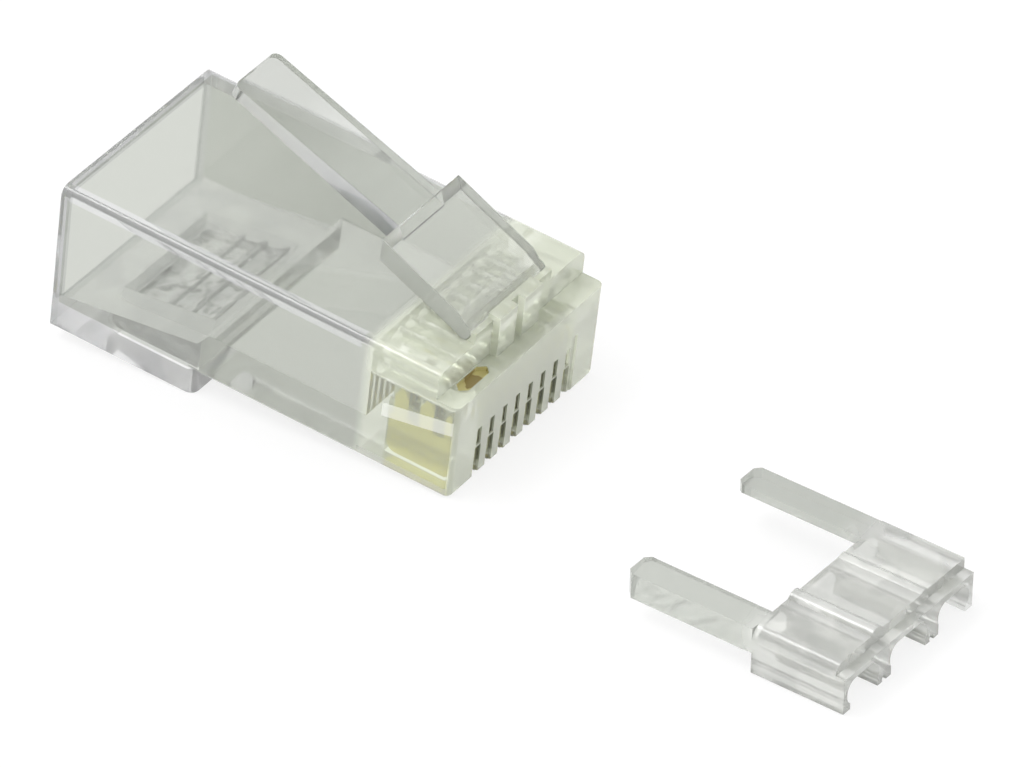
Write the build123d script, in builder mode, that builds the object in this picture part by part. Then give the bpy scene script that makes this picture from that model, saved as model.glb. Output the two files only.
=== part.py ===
from build123d import *
import os
from math import atan2, cos, sin

os.makedirs("parts", exist_ok=True)

# A clear modular plug before it is crimped, and the loose load bar that lies in front of it.
# X runs from the cable end (0) to the nose, Y across the contacts and Z from the contact
# side up to the latch. Z is 0 on the underside of the foot. All sizes are millimetres.

# Housing outline
length = 21.46
width = 11.68
height = 7.75
foot_length = 7.85
foot_drop = 1.30
ledge_length = 1.18
ledge_drop = 1.35
long_edge_radius = 0.50
foot_corner_radius = 0.45
nose_corner_radius = 0.35
nose_lower_radius = 0.25
side_wall = 0.87
roof_wall = 0.80

# Cable cavity: heights are above the foot's underside, or above the nose's for the bay
mouth_floor = 1.45
throat_floor = 2.55
bay_floor_thickness = 2.00
step_length = 0.60
nose_depth = 4.86
mouth_chamfer = 0.22

# Contacts: setback is from the nose's front face, heights are above the nose's underside
contact_count = 8
contact_pitch = 1.016
blade_thickness = 0.30
blade_clearance = 0.05
blade_setback = 0.26
blade_length = 3.80
blade_recess = 0.15
bridge_height = 0.76
blade_corner_radius = 0.50
tine_height = 1.55
tine_count = 3
tine_width = 0.72
tine_inset = 0.20
tine_point = 0.24
tine_slope_height = 0.42
crimp_travel = 0.80

# Nose
channel_radius = 0.44
channel_roof = 0.41
channel_front_wall = 0.56
front_slot_width = 0.50
front_slot_height = 1.62
front_recess = 0.12
front_recess_height = 3.35
front_recess_margin = 0.20
rib_radius = 0.30
window_width = 0.35
window_height = 0.95
window_sill = 0.08
window_depth = 0.30
pocket_setback = 0.79
pocket_length = 2.2
pocket_width = 0.66
pocket_depth = 0.26
pocket_contact = 0
pocket_cut = 0.30

# Latch: setbacks are from the nose's front face, rises are above the housing's top
latch_width = 6.02
lever_width = 3.25
shoulder_setback = 6.46
shoulder_rise = 3.15
shoulder_depth = 1.15
lip_setback = 2.26
lip_rise = 1.25
tail_setback = 15.66
tail_rise = 6.25
tail_thickness = 0.60
lever_step = 0.12
knuckle_setback = 1.91
knuckle_radius = 0.40
knuckle_clearance = 0.05
root_rise = 0.55
tail_corner_radius = 0.40
gusset_offset = 0.98
gusset_width = 1.39
gusset_overhang = 0.37
gusset_rise = 0.85
gusset_slope = 0.05
gusset_root = 0.26
lever_root = 0.50
lever_root_drop = 0.25
tail_rake = 0.21

# Jacket clamp in the foot's floor: setbacks are from the foot's front face
clamp_axis_setback = 5.10
clamp_axis_height = 0.60
clamp_knuckle_radius = 0.50
clamp_end_setback = 0.90
clamp_end_height = 2.05
clamp_width = 5.5
clamp_gap = 0.25
clamp_tooth_height = 0.30
clamp_tooth_length = 0.70
clamp_tooth_count = 3
clamp_tooth_pitch = 1.20

# Load bar, in its own frame: x forward from the comb's rear edge, z up from the table
bar_clearance = 0.08
comb_length = 4.85
comb_height = 2.38
comb_near_radius = 0.70
comb_far_radius = 0.25
ridge_radius = 0.50
near_ridge_rise = 0.25
far_ridge_rise = 0.08
lip_length = 0.50
lip_depth = 0.55
pair_channel_top = 1.50
pair_channel_height = 1.30
pair_channel_round = 0.60
outer_channel_width = 2.39
outer_channel_offset = 3.43
outer_mouth_width = 2.07
outer_mouth_offset = 3.335
middle_channel_width = 2.80
middle_mouth_width = 2.60
tooth_notch_radius = 0.18
tooth_notch_depth = 0.30
arm_width = 1.54
arm_outer_height = 1.31
arm_inner_height = 0.47
arm_drop = 0.03
arm_length = 6.65
arm_chamfer = 0.26
bar_distance = 31.47
bar_offset = -3.79
bar_yaw = -2.92

# Modelling allowances: how far blocks and cuts overlap, and how closely edges are looked for
overlap = 0.05
near = 0.01

# Places that follow from the sizes
cavity_width = width - 2 * side_wall
cavity_roof = height - roof_wall
foot_step_x = foot_length - step_length / 2
bay_floor = foot_drop + bay_floor_thickness
channel_start = length - nose_depth
channel_end = length - channel_front_wall
ledge_x = length - ledge_length
ledge_height = height - ledge_drop
channel_centre_height = ledge_height - channel_roof - channel_radius
contact_y = [contact_pitch * (i - (contact_count - 1) / 2) for i in range(contact_count)]
blade_front = length - blade_setback
blade_rear = blade_front - blade_length
blade_bottom = foot_drop + blade_recess
slot_width = blade_thickness + 2 * blade_clearance
slot_rear = blade_rear - blade_clearance
slot_front = blade_front + blade_clearance
slot_top = channel_centre_height - channel_radius - bridge_height
blade_shoulder = slot_top - blade_clearance - crimp_travel
tine_tip = blade_shoulder + tine_height
front_slot_top = foot_drop + front_slot_height
front_recess_top = foot_drop + front_recess_height
window_bottom = front_slot_top + window_sill
recess_half_width = contact_y[-1] + front_slot_width / 2 + front_recess_margin
tine_pitch = (blade_length - 2 * tine_inset - tine_width) / (tine_count - 1)
tine_x = [blade_rear + tine_inset + tine_width / 2 + tine_pitch * i for i in range(tine_count)]
shoulder_x = length - shoulder_setback
shoulder_top = height + shoulder_rise
lip_x = length - lip_setback
lip_top = height + lip_rise
tail_x = length - tail_setback
tail_top = height + tail_rise
knuckle_x = length - knuckle_setback
knuckle_height = height + knuckle_radius
root_height = height + root_rise
gusset_front = ledge_x + gusset_overhang
gusset_top = height + gusset_rise
clamp_axis_x = foot_length - clamp_axis_setback
clamp_end_x = foot_length - clamp_end_setback
comb_width = cavity_width - 2 * bar_clearance
table_tilt = atan2(foot_drop, length - foot_length)


with BuildPart() as housing:
    # Outer block: foot at the back, nose ledge at the front
    with BuildSketch(Plane.XZ):
        Polygon(
            (0, 0),
            (foot_length, 0),
            (foot_length, foot_drop),
            (length, foot_drop),
            (length, ledge_height),
            (ledge_x, ledge_height),
            (ledge_x, height),
            (0, height),
            align=None,
        )
    extrude(amount=width / 2, both=True)
    fillet(housing.edges().filter_by(Axis.X).group_by(Axis.Z)[-1], radius=long_edge_radius)
    upright = housing.edges().filter_by(Axis.Z)
    foot_corners = upright.filter_by_position(Axis.X, foot_length - near, foot_length + near)
    fillet(foot_corners, radius=foot_corner_radius)
    upright = housing.edges().filter_by(Axis.Z)
    nose_corners = upright.filter_by_position(Axis.X, length - near, length + near)
    fillet(nose_corners, radius=nose_corner_radius)
    nose_lower_edge = housing.edges().filter_by(Axis.Y).group_by(Axis.X)[-1].sort_by(Axis.Z)[0]
    fillet(nose_lower_edge, radius=nose_lower_radius)

    # Cable cavity: a mouth with a rising floor, then the bay that takes the load bar
    with BuildSketch(Plane.XZ):
        Polygon(
            (-overlap, mouth_floor),
            (0, mouth_floor),
            (foot_step_x, throat_floor),
            (foot_step_x + step_length, bay_floor),
            (channel_start, bay_floor),
            (channel_start, cavity_roof),
            (-overlap, cavity_roof),
            align=None,
        )
    extrude(amount=cavity_width / 2, both=True, mode=Mode.SUBTRACT)
    mouth = housing.edges().filter_by_position(Axis.X, -near, near)
    mouth = mouth.filter_by_position(Axis.Y, -cavity_width / 2 - near, cavity_width / 2 + near)
    mouth = mouth.filter_by_position(Axis.Z, mouth_floor - near, cavity_roof + near)
    chamfer(mouth, length=mouth_chamfer)

    # Wire channels ahead of the bay
    with BuildSketch(Plane.YZ.offset(channel_start - overlap)):
        for y in contact_y:
            with Locations((y, channel_centre_height)):
                Circle(channel_radius)
    extrude(amount=channel_end - channel_start + overlap, mode=Mode.SUBTRACT)

    # Rounded lower front corner of the ribs, between the two corner posts
    with BuildSketch(Plane.XZ):
        with Locations((length - rib_radius / 2, foot_drop + rib_radius / 2)):
            Rectangle(rib_radius, rib_radius)
        with Locations((length - rib_radius, foot_drop + rib_radius)):
            Circle(rib_radius, mode=Mode.SUBTRACT)
    extrude(amount=recess_half_width, both=True, mode=Mode.SUBTRACT)

    # Front panel, set back between the posts
    with BuildSketch(Plane.YZ.offset(length - front_recess)):
        with Locations((0, (foot_drop + front_recess_top) / 2)):
            Rectangle(2 * recess_half_width, front_recess_top - foot_drop)
    extrude(amount=front_recess, mode=Mode.SUBTRACT)

    # Blade slots, open downwards and deep enough for the crimp travel
    with BuildSketch(Plane.XY.offset(foot_drop)):
        for y in contact_y:
            with Locations(((slot_rear + slot_front) / 2, y)):
                Rectangle(slot_front - slot_rear, slot_width)
    extrude(amount=slot_top - foot_drop, mode=Mode.SUBTRACT)

    # Slot mouths in the front, and the narrow windows above them
    with BuildSketch(Plane.YZ.offset(slot_front - overlap)):
        for y in contact_y:
            with Locations((y, (foot_drop + front_slot_top) / 2)):
                Rectangle(front_slot_width, front_slot_top - foot_drop)
    extrude(amount=length - slot_front + overlap, mode=Mode.SUBTRACT)
    with BuildSketch(Plane.YZ.offset(length - front_recess - window_depth)):
        for y in contact_y:
            with Locations((y, window_bottom + window_height / 2)):
                Rectangle(window_width, window_height)
    extrude(amount=window_depth, mode=Mode.SUBTRACT)

    # Tine holes from the slots up into the wire channels
    with BuildSketch(Plane.XY.offset(slot_top - overlap)):
        for y in contact_y:
            for x in tine_x:
                with Locations((x, y)):
                    Rectangle(tine_width + 2 * blade_clearance, slot_width)
    extrude(amount=channel_centre_height - slot_top + overlap, mode=Mode.SUBTRACT)

    # Six-sided pocket in the top of the nose ledge, over the first contacts
    with BuildSketch(Plane.XY.offset(ledge_height - pocket_depth)):
        with Locations((length - pocket_setback, contact_y[pocket_contact])):
            pocket = Rectangle(pocket_width, pocket_length)
        chamfer(pocket.vertices(), length=pocket_cut)
    extrude(amount=pocket_depth, mode=Mode.SUBTRACT)

    # Latch root: a block across the front of the roof and two gussets ahead of it
    with BuildSketch(Plane.XZ):
        Polygon(
            (knuckle_x, height - roof_wall / 2),
            (ledge_x, height - roof_wall / 2),
            (ledge_x, root_height),
            (knuckle_x, root_height),
            align=None,
        )
    extrude(amount=latch_width / 2, both=True)
    with BuildSketch(Plane.XZ):
        Polygon(
            (ledge_x - gusset_root, ledge_height - overlap),
            (gusset_front, ledge_height - overlap),
            (gusset_front, gusset_top - gusset_slope),
            (ledge_x - gusset_root, gusset_top),
            align=None,
        )
    extrude(amount=gusset_offset + gusset_width / 2, both=True)
    with BuildSketch(Plane.XZ):
        Polygon(
            (ledge_x, ledge_height),
            (gusset_front + overlap, ledge_height),
            (gusset_front + overlap, gusset_top + overlap),
            (ledge_x, gusset_top + overlap),
            align=None,
        )
    extrude(amount=gusset_offset - gusset_width / 2, both=True, mode=Mode.SUBTRACT)
    with BuildSketch(Plane.XZ):
        with Locations((knuckle_x, knuckle_height)):
            Circle(knuckle_radius + knuckle_clearance)
    extrude(amount=latch_width / 2 + knuckle_clearance, both=True, mode=Mode.SUBTRACT)

    # Window through the foot's floor, with a hollow seat for the jacket clamp
    with BuildSketch(Plane.XZ):
        Polygon(
            (clamp_axis_x, -overlap),
            (clamp_end_x + clamp_gap, -overlap),
            (clamp_end_x + clamp_gap, throat_floor + overlap),
            (clamp_axis_x - clamp_knuckle_radius, throat_floor + overlap),
            (clamp_axis_x - clamp_knuckle_radius, clamp_axis_height),
            (clamp_axis_x, clamp_axis_height),
            align=None,
        )
        with Locations((clamp_axis_x, clamp_axis_height)):
            Circle(clamp_knuckle_radius + knuckle_clearance)
    extrude(amount=clamp_width / 2 + clamp_gap, both=True, mode=Mode.SUBTRACT)
housing.part.label = "housing"
export_step(housing.part, "parts/housing.step")

# Latch: a wide ramp with two shoulders, and the narrow lever that is pressed
shoulder_bottom = shoulder_top - shoulder_depth
with BuildPart() as latch:
    with BuildSketch(Plane.XZ):
        Polygon(
            (knuckle_x, knuckle_height - knuckle_radius),
            (knuckle_x + overlap, knuckle_height + knuckle_radius),
            (lip_x, lip_top),
            (shoulder_x, shoulder_top),
            (shoulder_x, shoulder_bottom),
            align=None,
        )
        with Locations((knuckle_x, knuckle_height)):
            Circle(knuckle_radius)
    extrude(amount=latch_width / 2, both=True)
    with BuildSketch(Plane.XZ):
        Polygon(
            (shoulder_x + lever_root, shoulder_bottom),
            (shoulder_x + lever_root, shoulder_top - lever_step - lever_root_drop),
            (shoulder_x, shoulder_top - lever_step),
            (tail_x, tail_top),
            (tail_x - tail_rake, tail_top - tail_thickness),
            (shoulder_x, shoulder_bottom - overlap),
            align=None,
        )
    extrude(amount=lever_width / 2, both=True)
    straight = latch.edges().filter_by(GeomType.LINE)
    tail_corners = straight.filter_by(lambda edge: edge.length < 2 * tail_thickness).group_by(Axis.X)[0]
    fillet(tail_corners, radius=tail_corner_radius)
latch.part.label = "latch"
export_step(latch.part, "parts/latch.step")

# Jacket clamp: a toothed wedge that turns about its rear edge up into the cavity
clamp_bottom = clamp_axis_height - clamp_knuckle_radius
clamp_top = clamp_axis_height + clamp_knuckle_radius
clamp_slope = (clamp_end_height - clamp_top) / (clamp_end_x - clamp_axis_x)
with BuildPart() as jacket_clamp:
    with BuildSketch(Plane.XZ):
        Polygon(
            (clamp_axis_x, clamp_bottom),
            (clamp_end_x, clamp_bottom),
            (clamp_end_x, clamp_end_height),
            (clamp_axis_x, clamp_top),
            align=None,
        )
        with Locations((clamp_axis_x, clamp_axis_height)):
            Circle(clamp_knuckle_radius)
        for i in range(clamp_tooth_count):
            tooth_front = clamp_end_x - i * clamp_tooth_pitch
            tooth_base = clamp_top + clamp_slope * (tooth_front - clamp_axis_x)
            tooth_heel = tooth_base - clamp_slope * clamp_tooth_length
            Polygon(
                (tooth_front, tooth_heel - overlap),
                (tooth_front, tooth_base + clamp_tooth_height),
                (tooth_front - clamp_tooth_length, tooth_heel - overlap),
                align=None,
            )
    extrude(amount=clamp_width / 2, both=True)
jacket_clamp.part.label = "jacket_clamp"
export_step(jacket_clamp.part, "parts/jacket_clamp.step")


def make_contact(y):
    """One gold-plated blade with its tines, at its place across the plug."""
    with BuildPart() as contact:
        with BuildSketch(Plane.XZ.offset(-y)):
            Polygon(
                (blade_rear, blade_bottom),
                (blade_front, blade_bottom),
                (blade_front, blade_shoulder),
                (blade_rear, blade_shoulder),
                align=None,
            )
            for x in tine_x:
                Polygon(
                    (x - tine_width / 2, blade_shoulder - overlap),
                    (x + tine_width / 2, blade_shoulder - overlap),
                    (x + tine_width / 2, tine_tip - tine_slope_height),
                    (x + tine_point / 2, tine_tip),
                    (x - tine_point / 2, tine_tip),
                    (x - tine_width / 2, tine_tip - tine_slope_height),
                    align=None,
                )
        extrude(amount=blade_thickness / 2, both=True)
        bottom_edges = contact.edges().filter_by(Axis.Y).group_by(Axis.Z)[0]
        fillet(bottom_edges, radius=blade_corner_radius)
    return contact.part


# Eight contacts, numbered from the near flank
for number, y in enumerate(contact_y, start=1):
    blade = make_contact(y)
    blade.label = f"contact_{number}"
    export_step(blade, f"parts/contact_{number}.step")

# Load bar: it lies on the same table that the foot and the nose stand on
table = Plane(
    origin=(foot_length, 0, 0),
    x_dir=(cos(table_tilt), 0, sin(table_tilt)),
    z_dir=(-sin(table_tilt), 0, cos(table_tilt)),
)
bar_origin = table.from_local_coords((bar_distance, bar_offset, 0))
bar_top = Plane(origin=bar_origin, x_dir=table.x_dir, z_dir=table.z_dir).rotated((0, 0, bar_yaw))
bar_end = Plane(origin=bar_top.origin, x_dir=bar_top.y_dir, z_dir=bar_top.x_dir)
bar_side = Plane(origin=bar_top.origin, x_dir=bar_top.x_dir, z_dir=-bar_top.y_dir)
middle_channel = (middle_channel_width, pair_channel_height)
outer_channel = (outer_channel_width, pair_channel_height)
channel_middle = pair_channel_top - pair_channel_height / 2
tooth_middle = (middle_mouth_width / 2 + outer_mouth_offset - outer_mouth_width / 2) / 2
arm_top = comb_height - arm_drop
with BuildPart() as load_bar:
    # Comb: a block with a rounded near edge and a ridge over each double tooth
    with BuildSketch(bar_end):
        with Locations((0, comb_height / 2)):
            block = Rectangle(comb_width, comb_height)
        near_corner, far_corner = block.vertices().group_by(Axis.Y)[-1].sort_by(Axis.X)
        fillet(near_corner, radius=comb_near_radius)
        fillet(far_corner, radius=comb_far_radius)
        with Locations((-tooth_middle, comb_height + near_ridge_rise - ridge_radius)):
            Circle(ridge_radius)
        with Locations((tooth_middle, comb_height + far_ridge_rise - ridge_radius)):
            Circle(ridge_radius)

        # Three channels for pairs of wires, open below, and a notch in each double tooth
        with Locations((0, channel_middle)):
            RectangleRounded(*middle_channel, radius=pair_channel_round, mode=Mode.SUBTRACT)
        with Locations((0, channel_middle / 2)):
            Rectangle(middle_mouth_width, channel_middle, mode=Mode.SUBTRACT)
        for side in (-1, 1):
            with Locations((side * outer_channel_offset, channel_middle)):
                RectangleRounded(*outer_channel, radius=pair_channel_round, mode=Mode.SUBTRACT)
            with Locations((side * outer_mouth_offset, channel_middle / 2)):
                Rectangle(outer_mouth_width, channel_middle, mode=Mode.SUBTRACT)
            with Locations((side * tooth_middle, tooth_notch_depth - tooth_notch_radius)):
                Circle(tooth_notch_radius, mode=Mode.SUBTRACT)
    extrude(amount=comb_length)

    # Lower lip along the front of the comb
    lip_cut = lip_depth + near_ridge_rise + overlap
    with BuildSketch(bar_side):
        with Locations((comb_length - lip_length / 2, comb_height - lip_depth + lip_cut / 2)):
            Rectangle(lip_length, lip_cut)
    extrude(amount=comb_width / 2, both=True, mode=Mode.SUBTRACT)

    # Arms: deep on the outside, thin on the inside, with their free ends chamfered
    with BuildSketch(bar_end.offset(-arm_length)):
        for side in (-1, 1):
            outer = side * comb_width / 2
            inner = outer - side * arm_width
            Polygon(
                (outer, arm_top),
                (inner, arm_top),
                (inner, arm_top - arm_inner_height),
                (outer, arm_top - arm_outer_height),
                align=None,
            )
    extrude(amount=arm_length)
    arm_ends = load_bar.faces().sort_by(lambda face: bar_top.to_local_coords(face.center()).X)[:2]
    end_corners = arm_ends.edges().filter_by(Axis(bar_top.origin, bar_top.z_dir))
    chamfer(end_corners, length=arm_chamfer)
load_bar.part.label = "load_bar"
export_step(load_bar.part, "parts/load_bar.step")
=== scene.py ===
# %% [markdown]
# # A clear modular plug and its load bar
# The part is a network plug that has not been crimped yet: a shell of clear plastic with eight
# gold blades in its nose. In front of it lies the load bar, a small clear comb that guides the
# wires. The solids come from the CAD frame and stay as they are. This lesson gives them their
# finish, sets the table and the light, and puts the camera where the photographer stood.

import math

import bpy
from mathutils import Matrix, Vector

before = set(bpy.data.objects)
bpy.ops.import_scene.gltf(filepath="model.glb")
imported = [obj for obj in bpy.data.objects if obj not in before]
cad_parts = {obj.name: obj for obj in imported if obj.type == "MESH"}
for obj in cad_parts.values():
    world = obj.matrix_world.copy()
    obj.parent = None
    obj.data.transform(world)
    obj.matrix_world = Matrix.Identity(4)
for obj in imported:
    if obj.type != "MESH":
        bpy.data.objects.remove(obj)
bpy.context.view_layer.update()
MM = 0.001
print("CAD nodes:", sorted(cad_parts))

# %% [markdown]
# ## Clear plastic
# The shell is taken to be polycarbonate. It bends light more than window glass does, and it looks
# faintly grey-green and a little milky. One Principled shader does all of this: its transmission
# lets most of the light through, and the rest of each surface is a pale plain colour, which is the
# milk. A light bump keeps long walls from looking like perfect optics.

# %% Clear plastic
POLYCARBONATE_IOR = 1.58


def new_material(name):
    """An empty Principled material, with its tree and its shader."""
    material = bpy.data.materials.new(name)
    material.use_nodes = True
    return material, material.node_tree, material.node_tree.nodes["Principled BSDF"]


def clear_plastic(name, tint, roughness, clarity, ripple_size, ripple_height):
    """Clear moulded plastic. The ripple's size and height are in metres."""
    material, tree, shader = new_material(name)
    shader.inputs["Base Color"].default_value = (*tint, 1.0)
    shader.inputs["Roughness"].default_value = roughness
    shader.inputs["IOR"].default_value = POLYCARBONATE_IOR
    shader.inputs["Transmission Weight"].default_value = clarity
    place = tree.nodes.new("ShaderNodeTexCoord")
    ripple = tree.nodes.new("ShaderNodeTexNoise")
    ripple.inputs["Scale"].default_value = 1.0 / ripple_size
    ripple.inputs["Detail"].default_value = 1.0
    bump = tree.nodes.new("ShaderNodeBump")
    bump.inputs["Strength"].default_value = 1.0
    bump.inputs["Distance"].default_value = ripple_height
    tree.links.new(place.outputs["Object"], ripple.inputs["Vector"])
    tree.links.new(ripple.outputs["Fac"], bump.inputs["Height"])
    tree.links.new(bump.outputs["Normal"], shader.inputs["Normal"])
    return material


# %% [markdown]
# The four plastics differ in tint, roughness, clarity and ripple. The clamp has a rough surface and
# a deep bump, which make its teeth look frosted. The tints of the clamp and the load bar are only
# for viewers that don't read the nodes below, which vary both.

# %% The four plastics
INNER_TINT = (0.96, 0.965, 0.95)
LATCH_TINT = (0.95, 0.96, 0.93)
BAR_TINT = (0.72, 0.74, 0.68)
# Painted light: the white of the lit facets on the clamp.
FACET_LIT_WHITE = (1.0, 1.0, 0.99)
WALL_CLARITY = 0.88
LATCH_CLARITY = 0.90
BAR_CLARITY = 0.68
CLAMP_CLARITY = 0.93
housing_plastic = clear_plastic(
    "clear_housing_plastic", INNER_TINT, roughness=0.05, clarity=WALL_CLARITY,
    ripple_size=3.0 * MM, ripple_height=0.008 * MM,
)
latch_plastic = clear_plastic(
    "clear_latch_plastic", LATCH_TINT, roughness=0.05, clarity=LATCH_CLARITY,
    ripple_size=3.0 * MM, ripple_height=0.006 * MM,
)
bar_plastic = clear_plastic(
    "clear_bar_plastic", BAR_TINT, roughness=0.10, clarity=BAR_CLARITY,
    ripple_size=0.9 * MM, ripple_height=0.012 * MM,
)
clamp_plastic = clear_plastic(
    "frosted_clamp_plastic", FACET_LIT_WHITE, roughness=0.26, clarity=CLAMP_CLARITY,
    ripple_size=1.3 * MM, ripple_height=0.60 * MM,
)
plastics = (housing_plastic, latch_plastic, bar_plastic, clamp_plastic)
print("clear plastics:", [plastic.name for plastic in plastics])

# %% [markdown]
# ## Masks
# Object coordinates are metres in the plug's own frame, so a face is known by where it lies. A mask
# is a number that is 1 on some faces and 0 elsewhere, and it picks between two tints or two
# clarities. These small helpers each add one node, or a few, and give back its output.

# %% Masks
def math_node(tree, operation, first, second):
    """A Math node of two outputs, or of an output and a number."""
    node = tree.nodes.new("ShaderNodeMath")
    node.operation = operation
    tree.links.new(first, node.inputs[0])
    if isinstance(second, float):
        node.inputs[1].default_value = second
    else:
        tree.links.new(second, node.inputs[1])
    return node.outputs[0]


def above(tree, coordinate, limit):
    """1 where the coordinate is more than the limit."""
    return math_node(tree, "GREATER_THAN", coordinate, limit)


def below(tree, coordinate, limit):
    """1 where the coordinate is less than the limit."""
    return math_node(tree, "LESS_THAN", coordinate, limit)


def either(tree, first, second):
    """The larger of two masks."""
    return math_node(tree, "MAXIMUM", first, second)


def both(tree, first, second):
    """The product of two masks."""
    return math_node(tree, "MULTIPLY", first, second)


def inside(tree, coordinate, low, high):
    """1 where the coordinate is between low and high."""
    within = tree.nodes.new("ShaderNodeMath")
    within.operation = "COMPARE"
    within.inputs[1].default_value = (low + high) / 2
    within.inputs[2].default_value = (high - low) / 2
    tree.links.new(coordinate, within.inputs[0])
    return within.outputs[0]


def fade(tree, coordinate, start, end, smooth):
    """From 0 at the start to 1 at the end."""
    ramp = tree.nodes.new("ShaderNodeMapRange")
    if smooth:
        ramp.interpolation_type = "SMOOTHSTEP"
    ramp.inputs["From Min"].default_value = start
    ramp.inputs["From Max"].default_value = end
    tree.links.new(coordinate, ramp.inputs["Value"])
    return ramp.outputs["Result"]


print("mask helpers are ready")

# %% Mixes and places
def mix_node(tree, kind, mask, first, second):
    """first where the mask is 0, second where it is 1. Each is a constant or an output."""
    mix = tree.nodes.new("ShaderNodeMix")
    mix.data_type = kind
    for name, value in (("A", first), ("B", second)):
        if isinstance(value, tuple):
            mix.inputs[name].default_value = (*value, 1.0)
        elif isinstance(value, float):
            mix.inputs[name].default_value = value
        else:
            tree.links.new(value, mix.inputs[name])
    tree.links.new(mask, mix.inputs["Factor"])
    return mix.outputs["Result"]


def colour_mix(tree, mask, first, second):
    return mix_node(tree, "RGBA", mask, first, second)


def number_mix(tree, mask, first, second):
    return mix_node(tree, "FLOAT", mask, first, second)


def object_place(tree):
    """The point that is shaded, in metres in the plug's frame."""
    return tree.nodes.new("ShaderNodeTexCoord").outputs["Object"]


def split_axes(tree, place):
    """The place's X, Y and Z."""
    axes = tree.nodes.new("ShaderNodeSeparateXYZ")
    tree.links.new(place, axes.inputs["Vector"])
    return axes.outputs["X"], axes.outputs["Y"], axes.outputs["Z"]


def from_middle(tree, y):
    """How far the place is from the plug's middle plane."""
    distance = tree.nodes.new("ShaderNodeMath")
    distance.operation = "ABSOLUTE"
    tree.links.new(y, distance.inputs[0])
    return distance.outputs[0]


def set_finish(tree, tint, clarity=None):
    """Links the tint, and the clarity if there is one, to the material's shader."""
    shader = tree.nodes["Principled BSDF"]
    tree.links.new(tint, shader.inputs["Base Color"])
    if clarity is not None:
        tree.links.new(clarity, shader.inputs["Transmission Weight"])


print("mix helpers are ready")

# %% [markdown]
# ## The shell's outer skin
# A ray that crosses many inner walls would grow darker at each one if they were all tinted. The
# plug in the photograph doesn't darken like that, so the tint sits on the outer skin, which is the
# flanks and the roof, and the inner walls are nearly white.

# %% The shell's outer skin
SKIN_TINT = (0.52, 0.545, 0.485)
FLANK = 5.80 * MM
ROOF = 7.70 * MM
shell = housing_plastic.node_tree
place = object_place(shell)
x, y, z = split_axes(shell, place)
sideways = from_middle(shell, y)
flank = above(shell, sideways, FLANK)
skin = either(shell, flank, above(shell, z, ROOF))
tint = colour_mix(shell, skin, INNER_TINT, SKIN_TINT)
print("skin mask in", housing_plastic.name)

# %% [markdown]
# ## The nose block
# Ahead of the wire bay the shell is almost solid plastic. There it looks milkier and a little
# greener than the thin walls behind it, and the gold shines through as if through a fog. The milk
# is the plastic's own, and the green-gold cast of its tint is painted reflection of the gold blades
# in it. Its top, its underside and its front are milkier still, so the wire channels hardly show. A
# soft step along X leads from the walls to the block.

# %% The nose block
BLOCK_FROM = 16.2 * MM
BLOCK_TO = 16.9 * MM
BLOCK_TOP = 6.20 * MM
BLOCK_UNDERSIDE = 1.33 * MM
BLOCK_FRONT = 21.25 * MM
# The green-gold cast of this tint is painted reflection of the blades; the rest is the plastic's
# own tint.
BLOCK_TINT_AND_GOLD_REFLECTION = (0.82, 0.855, 0.72)
BLOCK_CLARITY = 0.76
BLOCK_FACE_CLARITY = 0.58
in_block = fade(shell, x, BLOCK_FROM, BLOCK_TO, smooth=True)
block_faces = either(shell, above(shell, z, BLOCK_TOP), below(shell, z, BLOCK_UNDERSIDE))
block_faces = either(shell, block_faces, above(shell, x, BLOCK_FRONT))
block_faces = both(shell, in_block, block_faces)
tint = colour_mix(shell, in_block, tint, BLOCK_TINT_AND_GOLD_REFLECTION)
clarity = number_mix(shell, in_block, WALL_CLARITY, BLOCK_CLARITY)
clarity = number_mix(shell, block_faces, clarity, BLOCK_FACE_CLARITY)
print("nose block from", round(BLOCK_FROM / MM, 2), "mm")

# %% [markdown]
# ## Slots, a painted reflection and rails
# Some small places differ from the block round them. The walls of the front slots are painted
# olive, as painted shade of the slots and of the metal edges in them. A pale band of painted
# reflection slants across the near flank, above the blades, where light reflects inside the block,
# and below the blades a milky rail runs along the flank's foot. Light that the block bent would
# move with the eye, but these are tints at fixed places, so they stay there from every side, and
# the far flank, which is out of view, has the same pale band and rail. Each is a range in X, Y and
# Z, and the pale band is a range in a sum of Z and a share of X, because it slants.

# %% Slots, a painted reflection and rails
# Olive painted shade on the walls of the front slots.
SLOT_SHADE_OLIVE = (0.40, 0.42, 0.32)
SLOTS_X = (20.60 * MM, 21.32 * MM)
SLOTS_Y = (-4.30 * MM, 4.30 * MM)
SLOTS_Z = (1.32 * MM, 2.95 * MM)
RAIL_TINT = (0.60, 0.61, 0.55)
RAIL_Z = (0.0, 1.8 * MM)
# A pale slanting band of painted reflection on the flanks, above the blades.
REFLECTION_WHITE = (0.86, 0.88, 0.80)
REFLECTION_SLANT = -0.20
REFLECTION_BAND = (0.57 * MM, 1.30 * MM)
REFLECTION_X = (17.60 * MM, 21.50 * MM)
REFLECTION_AND_RAIL_CLARITY = 0.45
slots = both(shell, inside(shell, x, *SLOTS_X), inside(shell, y, *SLOTS_Y))
slots = both(shell, slots, inside(shell, z, *SLOTS_Z))
rail = both(shell, in_block, inside(shell, z, *RAIL_Z))
rail = both(shell, flank, rail)
slant = shell.nodes.new("ShaderNodeMath")
slant.operation = "MULTIPLY_ADD"
slant.inputs[1].default_value = REFLECTION_SLANT
shell.links.new(x, slant.inputs[0])
shell.links.new(z, slant.inputs[2])
painted_reflection = both(shell, inside(shell, slant.outputs[0], *REFLECTION_BAND), inside(shell, x, *REFLECTION_X))
painted_reflection = both(shell, flank, painted_reflection)
tint = colour_mix(shell, slots, tint, SLOT_SHADE_OLIVE)
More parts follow.
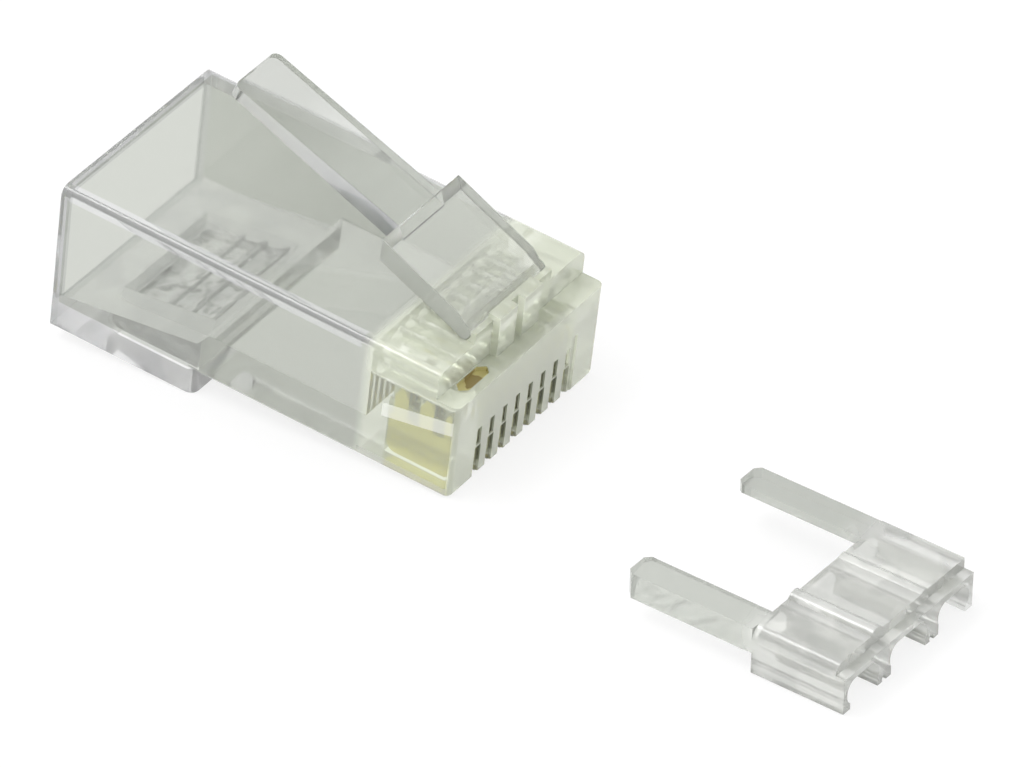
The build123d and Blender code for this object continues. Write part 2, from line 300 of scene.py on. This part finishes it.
tint = colour_mix(shell, rail, tint, RAIL_TINT)
tint = colour_mix(shell, painted_reflection, tint, REFLECTION_WHITE)
clarity = number_mix(shell, either(shell, painted_reflection, rail), clarity, REFLECTION_AND_RAIL_CLARITY)
print("marked the slots, the painted_reflections and the rails")

# %% [markdown]
# ## The pocket
# The small pocket in the ledge lies over the first contacts and looks brown and gold, as they
# show through it. Here that look is painted: the pocket has these colours itself, a painted image
# of the contacts, whatever lies under it. A noise splits it into brown and gold panes.

# %% The pocket
POCKET_BROWN = (0.34, 0.26, 0.09)
POCKET_GOLD = (0.62, 0.56, 0.24)
POCKET_X = (20.30 * MM, 21.04 * MM)
POCKET_Y = (-4.70 * MM, -2.40 * MM)
POCKET_Z = (6.05 * MM, 6.37 * MM)
POCKET_CLARITY = 0.15
PANE_SIZE = 0.8 * MM
PANE_SHARE = 0.5
pocket = both(shell, inside(shell, x, *POCKET_X), inside(shell, y, *POCKET_Y))
pocket = both(shell, pocket, inside(shell, z, *POCKET_Z))
panes = shell.nodes.new("ShaderNodeTexNoise")
panes.inputs["Scale"].default_value = 1.0 / PANE_SIZE
shell.links.new(place, panes.inputs["Vector"])
gold_pane = both(shell, pocket, above(shell, panes.outputs["Fac"], PANE_SHARE))
tint = colour_mix(shell, pocket, tint, POCKET_BROWN)
tint = colour_mix(shell, gold_pane, tint, POCKET_GOLD)
clarity = number_mix(shell, pocket, clarity, POCKET_CLARITY)
print("marked the pocket")

# %% [markdown]
# ## Facets
# The floor behind the step, the clamp in it and the foot's flanks look frosted in the photograph,
# in irregular facets of white and a faint lilac grey. In a white room a bump alone would hardly
# show, because clear plastic bends white light into white light. So the facets are cells of a
# Voronoi texture, each with a milky tint of its own, and a noise bends their borders. The frosting
# is the surface's own. The white and the lilac grey of its facets are painted light and shade, in
# place of the shading that a bump would give.

# %% Facets
# The lit white and the shaded lilac of the facets are painted light and shade.
FACET_SHADE_LILAC = (0.83, 0.83, 0.84)
FACET_CLARITY = 0.84
FACET_SIZE = 1.5 * MM
FACET_SMOOTHNESS = 0.4
BORDER_SHIFT = 1.4 * MM


def facet_tint(tree, place, dark, light):
    """Irregular cells between two tints, with soft warped borders."""
    warp = tree.nodes.new("ShaderNodeTexNoise")
    warp.inputs["Scale"].default_value = 1.0 / FACET_SIZE
    warp.inputs["Detail"].default_value = 2.0
    shift = tree.nodes.new("ShaderNodeVectorMath")
    shift.operation = "MULTIPLY_ADD"
    shift.inputs[1].default_value = (BORDER_SHIFT, BORDER_SHIFT, BORDER_SHIFT)
    cells = tree.nodes.new("ShaderNodeTexVoronoi")
    cells.feature = "SMOOTH_F1"
    cells.inputs["Smoothness"].default_value = FACET_SMOOTHNESS
    cells.inputs["Scale"].default_value = 1.0 / FACET_SIZE
    spread = tree.nodes.new("ShaderNodeSeparateColor")
    tree.links.new(place, warp.inputs["Vector"])
    tree.links.new(warp.outputs["Color"], shift.inputs[0])
    tree.links.new(place, shift.inputs[2])
    tree.links.new(shift.outputs["Vector"], cells.inputs["Vector"])
    tree.links.new(cells.outputs["Color"], spread.inputs["Color"])
    return colour_mix(tree, spread.outputs["Red"], dark, light)


clamp = clamp_plastic.node_tree
set_finish(clamp, facet_tint(clamp, object_place(clamp), FACET_SHADE_LILAC, FACET_LIT_WHITE))
print("facets in", clamp_plastic.name)

# %% [markdown]
# ## Rims and the rough floor
# The rims of the mouth and the long edges of the roof are rounded, and they carry soft pale
# bands of painted highlight. The facets go on the floor and on the foot's lowest part. After that
# the shell's tint and clarity are complete and go to its shader.

# %% Rims and the rough floor
# Painted highlight on the rounded rims of the mouth and the long edges of the roof.
RIM_HIGHLIGHT = (0.69, 0.70, 0.70)
RIM_CLARITY = 0.78
RIM_DEPTH = 0.35 * MM
EDGE_BAND = 0.55 * MM
HALF_WIDTH = 5.84 * MM
HEIGHT = 7.75 * MM
FLOOR_X = (0.35 * MM, 8.50 * MM)
FLOOR_Y = (-4.96 * MM, 4.96 * MM)
FOOT_LOW = 1.42 * MM
FLOOR_HIGH = 3.00 * MM
long_edge = both(
    shell,
    above(shell, sideways, HALF_WIDTH - EDGE_BAND),
    above(shell, z, HEIGHT - EDGE_BAND),
)
long_edge = both(shell, long_edge, below(shell, x, BLOCK_FROM))
rim_highlight = either(shell, below(shell, x, RIM_DEPTH), long_edge)
tint = colour_mix(shell, rim_highlight, tint, RIM_HIGHLIGHT)
clarity = number_mix(shell, rim_highlight, clarity, RIM_CLARITY)
floor_top = both(shell, inside(shell, z, FOOT_LOW, FLOOR_HIGH), inside(shell, y, *FLOOR_Y))
rough = either(shell, below(shell, z, FOOT_LOW), floor_top)
rough = both(shell, inside(shell, x, *FLOOR_X), rough)
tint = colour_mix(shell, rough, tint, facet_tint(shell, place, FACET_SHADE_LILAC, FACET_LIT_WHITE))
clarity = number_mix(shell, rough, clarity, FACET_CLARITY)
set_finish(shell, tint, clarity)
print("rims and facets finished in", housing_plastic.name)

# %% [markdown]
# ## The load bar's clouds
# The load bar looks cloudier than the shell, with soft lighter and darker places along its comb.
# The same facets, in two near tints, give those. The arms are even, and a little greyer.

# %% The load bar's clouds
BAR_DARK = (0.61, 0.62, 0.595)
BAR_LIGHT = (0.86, 0.87, 0.83)
BAR_ARM_TINT = (0.60, 0.62, 0.575)
BAR_ARM_FROM = 39.4 * MM
BAR_ARM_TO = 37.6 * MM
bar = bar_plastic.node_tree
bar_place = object_place(bar)
bar_x = split_axes(bar, bar_place)[0]
bar_arms = fade(bar, bar_x, BAR_ARM_FROM, BAR_ARM_TO, smooth=True)
bar_clouds = facet_tint(bar, bar_place, BAR_DARK, BAR_LIGHT)
set_finish(bar, colour_mix(bar, bar_arms, bar_clouds, BAR_ARM_TINT))
print("clouds in", bar_plastic.name)

# %% [markdown]
# ## The lever
# The latch is almost colourless where it slopes up from the nose, and its long lever looks greyer,
# most of all at its tail. The two flanks of the slope are greyer and milkier, so that they don't
# flash white. The lever's own flanks darken towards the shoulders, where the photograph shows a
# grey line.

# %% The lever
LEVER_TINT = (0.86, 0.875, 0.845)
LEVER_FROM = 15.2 * MM
LEVER_TO = 14.6 * MM
TAIL_TINT = (0.67, 0.685, 0.65)
TAIL_FROM = 12.0 * MM
TAIL_TO = 8.0 * MM
LATCH_FLANK = 2.95 * MM
LATCH_FLANK_TINT = (0.50, 0.52, 0.47)
LATCH_FLANK_CLARITY = 0.50
LEVER_FLANK = 1.58 * MM
LEVER_FLANK_FROM = 8.0 * MM
LEVER_FLANK_TO = 14.0 * MM
FLANK_GREY = (0.48, 0.49, 0.50)
latch = latch_plastic.node_tree
latch_x, latch_y, _ = split_axes(latch, object_place(latch))
latch_side = from_middle(latch, latch_y)
on_lever = fade(latch, latch_x, LEVER_FROM, LEVER_TO, smooth=False)
on_tail = fade(latch, latch_x, TAIL_FROM, TAIL_TO, smooth=False)
latch_flank = above(latch, latch_side, LATCH_FLANK)
lever_flank = both(
    latch,
    above(latch, latch_side, LEVER_FLANK),
    fade(latch, latch_x, LEVER_FLANK_FROM, LEVER_FLANK_TO, smooth=False),
)
lever_flank = both(latch, lever_flank, on_lever)
latch_tint = colour_mix(latch, on_lever, LATCH_TINT, LEVER_TINT)
latch_tint = colour_mix(latch, on_tail, latch_tint, TAIL_TINT)
latch_tint = colour_mix(latch, latch_flank, latch_tint, LATCH_FLANK_TINT)
latch_tint = colour_mix(latch, lever_flank, latch_tint, FLANK_GREY)
latch_clarity = number_mix(latch, latch_flank, LATCH_CLARITY, LATCH_FLANK_CLARITY)
set_finish(latch, latch_tint, latch_clarity)
print("lever tinted on", latch_plastic.name)

# %% [markdown]
# ## Gold plate
# The blades look like pale gold. Their front edges show in the slots as duller olive bars, which
# are painted shade of the slots round them. A metallic shader with a soft roughness does both,
# with a step along X between the two colours.

# %% Gold plate
PLATED = (0.92, 0.80, 0.10)
# Painted shade on the blades' front edges, in the slots.
FRONT_EDGE_SHADE = (0.66, 0.66, 0.50)
FRONT_EDGE_SHADE_FROM = 20.98 * MM
gold_plate, gold, gold_shader = new_material("gold_plate")
gold_shader.inputs["Metallic"].default_value = 1.0
gold_shader.inputs["Roughness"].default_value = 0.25
gold_x = split_axes(gold, object_place(gold))[0]
set_finish(gold, colour_mix(gold, above(gold, gold_x, FRONT_EDGE_SHADE_FROM), PLATED, FRONT_EDGE_SHADE))
print("gold plate:", gold_plate.name)

# %% [markdown]
# ## Finish for each CAD node
# The CAD nodes arrive with a plain material each. Swapping the material in its slot changes the
# look and leaves the mesh alone, which is what the frame asks for.

# %% Dress the nodes
finishes = {
    "housing": housing_plastic,
    "latch": latch_plastic,
    "jacket_clamp": clamp_plastic,
    "load_bar": bar_plastic,
}
for name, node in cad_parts.items():
    node.data.materials.clear()
    node.data.materials.append(finishes.get(name, gold_plate))
print("dressed", len(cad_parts), "nodes")

# %% [markdown]
# ## Table
# The plug stands on its foot's front edge and on the nose's lower edge, so the table leans a little
# in the plug's own frame.

# %% Table
FOOT_LENGTH = 7.85 * MM
PLUG_LENGTH = 21.46 * MM
FOOT_DROP = 1.30 * MM
TABLE_SIZE = 1.2
TABLE_GAP = 0.02 * MM

foot_front_edge = Vector((FOOT_LENGTH, 0.0, 0.0))
nose_lower_edge = Vector((PLUG_LENGTH, 0.0, FOOT_DROP))
table_direction = nose_lower_edge - foot_front_edge
table_lean = math.atan2(table_direction.z, table_direction.x)
bpy.ops.object.select_all(action="DESELECT")
bpy.ops.mesh.primitive_plane_add(size=TABLE_SIZE, location=(0.0, 0.0, 0.0))
table = bpy.context.object
table.name = "table"
lean = Matrix.Rotation(-table_lean, 4, "Y")
lower = Matrix.Translation((0.0, 0.0, -TABLE_GAP))
table.data.transform(Matrix.Translation(foot_front_edge) @ lean @ lower)
print("table leans", round(math.degrees(table_lean), 2), "degrees")

# %% [markdown]
# The photograph's background is pure white. The table is therefore white for the rays that a gloss
# or the clear plastic sends out, and mostly white for the camera's own. A share of it stays a plain
# diffuse surface for the camera, which keeps a faint shadow under the plug.

# %% Table finish
SHADOW_SHARE = 0.22
TABLE_PALE = (0.92, 0.92, 0.92, 1.0)
WHITE = (1.0, 1.0, 1.0, 1.0)
table_material, table_tree, table_shader = new_material("table_white")
table_shader.inputs["Base Color"].default_value = TABLE_PALE
table_shader.inputs["Roughness"].default_value = 0.9
bright = table_tree.nodes.new("ShaderNodeEmission")
bright.inputs["Color"].default_value = WHITE
ray = table_tree.nodes.new("ShaderNodeLightPath").outputs
seen = math_node(table_tree, "MULTIPLY", ray["Is Camera Ray"], 1.0 - SHADOW_SHARE)
seen = math_node(table_tree, "MAXIMUM", seen, ray["Is Glossy Ray"])
seen = math_node(table_tree, "MAXIMUM", seen, ray["Is Transmission Ray"])
blend = table_tree.nodes.new("ShaderNodeMixShader")
table_tree.links.new(seen, blend.inputs["Fac"])
table_tree.links.new(table_shader.outputs["BSDF"], blend.inputs[1])
table_tree.links.new(bright.outputs["Emission"], blend.inputs[2])
table_output = table_tree.nodes["Material Output"]
table_tree.links.new(blend.outputs["Shader"], table_output.inputs["Surface"])
table.data.materials.append(table_material)
print("table finish:", table_material.name)

# %% [markdown]
# ## Room
# The room is a white tent: a world of plain white at a strength of 1. It lights the plug evenly
# from all sides.

# %% Room
world = bpy.data.worlds.new("white_tent")
bpy.context.scene.world = world
world.use_nodes = True
world.node_tree.nodes["Background"].inputs["Color"].default_value = WHITE
print("room:", world.name)

# %% [markdown]
# ## Camera
# The camera was fitted to the photograph from the plug's known length, width and contact pitch: it
# looks down 39 degrees from the near side of the nose, through a long lens, and is rolled by 7
# degrees.

# %% Camera
AZIMUTH = math.radians(29.17)
ELEVATION = math.radians(39.00)
ROLL = math.radians(7.13)
DISTANCE = 450.0 * MM
SIDEWAYS = 17.497 * MM
UPWARDS = -5.568 * MM
FOCAL_PIXELS = 9944.2
PICTURE_WIDTH = 1024
SENSOR_WIDTH = 36.0

back = Vector((
    math.sin(AZIMUTH) * math.cos(ELEVATION),
    -math.cos(AZIMUTH) * math.cos(ELEVATION),
    math.sin(ELEVATION),
))
level_right = Vector((math.cos(AZIMUTH), math.sin(AZIMUTH), 0.0))
level_up = back.cross(level_right)
right = math.cos(ROLL) * level_right + math.sin(ROLL) * level_up
up = -math.sin(ROLL) * level_right + math.cos(ROLL) * level_up
turn = Matrix((right, up, back)).transposed()

bpy.ops.object.camera_add()
camera = bpy.context.object
camera.name = "photo_camera"
camera.data.sensor_width = SENSOR_WIDTH
camera.data.lens = FOCAL_PIXELS * SENSOR_WIDTH / PICTURE_WIDTH
camera.data.clip_start = 0.01
camera.data.clip_end = 10.0
stand = Matrix.Translation(right * SIDEWAYS + up * UPWARDS + back * DISTANCE)
camera.matrix_world = stand @ turn.to_4x4()
bpy.context.scene.camera = camera
print("camera at", [round(v, 4) for v in camera.location])

# %% [markdown]
# ## Lamps
# A wide soft lamp stands behind and to the left, high up. Rounded edges mirror it into the camera
# from there, and no large flat face does. A smaller one beside it adds to the glints on the same
# edges.

# %% Lamps
def area_lamp(name, width, depth, energy, place):
    """An area lamp that faces the origin."""
    bpy.ops.object.light_add(type="AREA", location=(0.0, 0.0, 0.0))
    lamp = bpy.context.object
    lamp.name = name
    lamp.data.shape = "RECTANGLE"
    lamp.data.size = width
    lamp.data.size_y = depth
    lamp.data.energy = energy
    aim = place.to_track_quat("Z", "Y").to_matrix().to_4x4()
    lamp.matrix_world = Matrix.Translation(place) @ aim
    print(name, "at", [round(v, 3) for v in place])


SOFT_PLACE = Vector((-0.18, -0.12, 0.38))
GLINT_PLACE = Vector((-0.17, -0.11, 0.34))
area_lamp("soft_lamp", width=0.50, depth=0.35, energy=0.62, place=SOFT_PLACE)
area_lamp("glint_lamp", width=0.20, depth=0.08, energy=0.30, place=GLINT_PLACE)

# %% [markdown]
# ## Finish
# Light crosses many walls of clear plastic before it leaves, so it is followed for more bounces
# than usual. Without the extra ones the darkest places come out a little darker.

# %% Finish
scene = bpy.context.scene
scene.view_settings.view_transform = "Standard"
scene.cycles.max_bounces = 24
scene.cycles.glossy_bounces = 12
scene.cycles.transmission_bounces = 20
